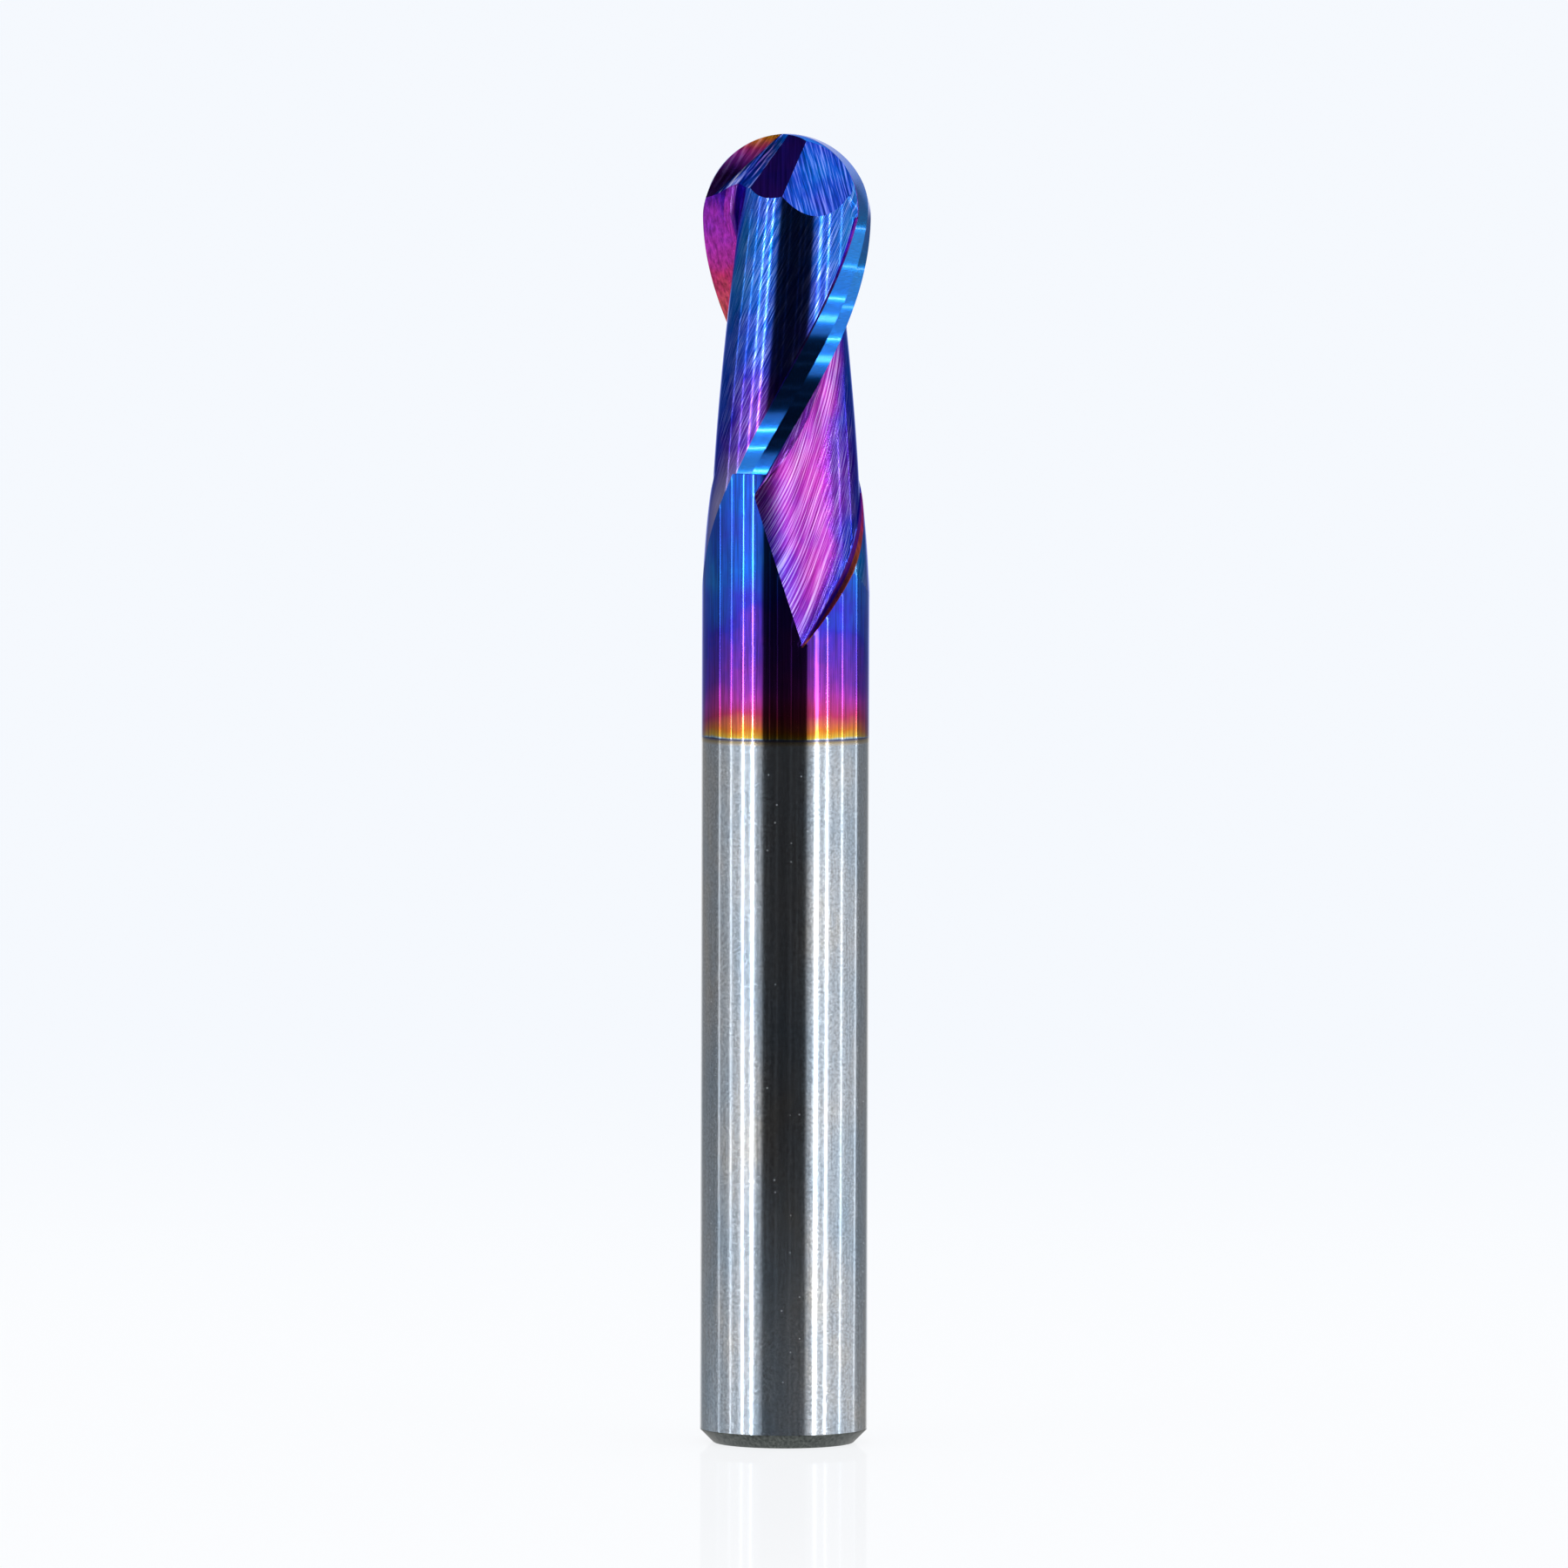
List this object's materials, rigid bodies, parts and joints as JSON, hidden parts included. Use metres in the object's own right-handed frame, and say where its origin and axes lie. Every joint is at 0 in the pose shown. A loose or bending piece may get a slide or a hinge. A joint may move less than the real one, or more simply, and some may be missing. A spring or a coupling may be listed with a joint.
{
  "type": "end mill",
  "caption": "Ball-nose end mill: a ground carbide rod with a bare shank, a coated neck, helical flutes and a rounded cutting end for milling curved surfaces.",
  "frame": {"origin": "middle of the shank's end face, on the tool's axis", "axes": "+Z along the tool's axis from the shank's end to the ball's tip; -Y towards the viewer of the picture"},
  "size_m": [0.008, 0.008, 0.0625],
  "materials": {
    "ground_carbide": "bare ground carbide with fine lengthwise lines",
    "neck_coating": "blue to violet hard coating that runs out through red, orange and yellow",
    "web_coating": "blue hard coating",
    "tooth_1_coating": "blue to magenta hard coating over ground lines",
    "tooth_2_coating": "blue to magenta hard coating over ground lines",
    "ball_nose_coating": "blue to purple hard coating over ground facets"
  },
  "bodies": {
    "root": {"shank": "ground_carbide", "neck": "neck_coating", "web": "web_coating", "tooth_1": "tooth_1_coating", "tooth_2": "tooth_2_coating", "ball_nose": "ball_nose_coating"}
  },
  "joints": []
}
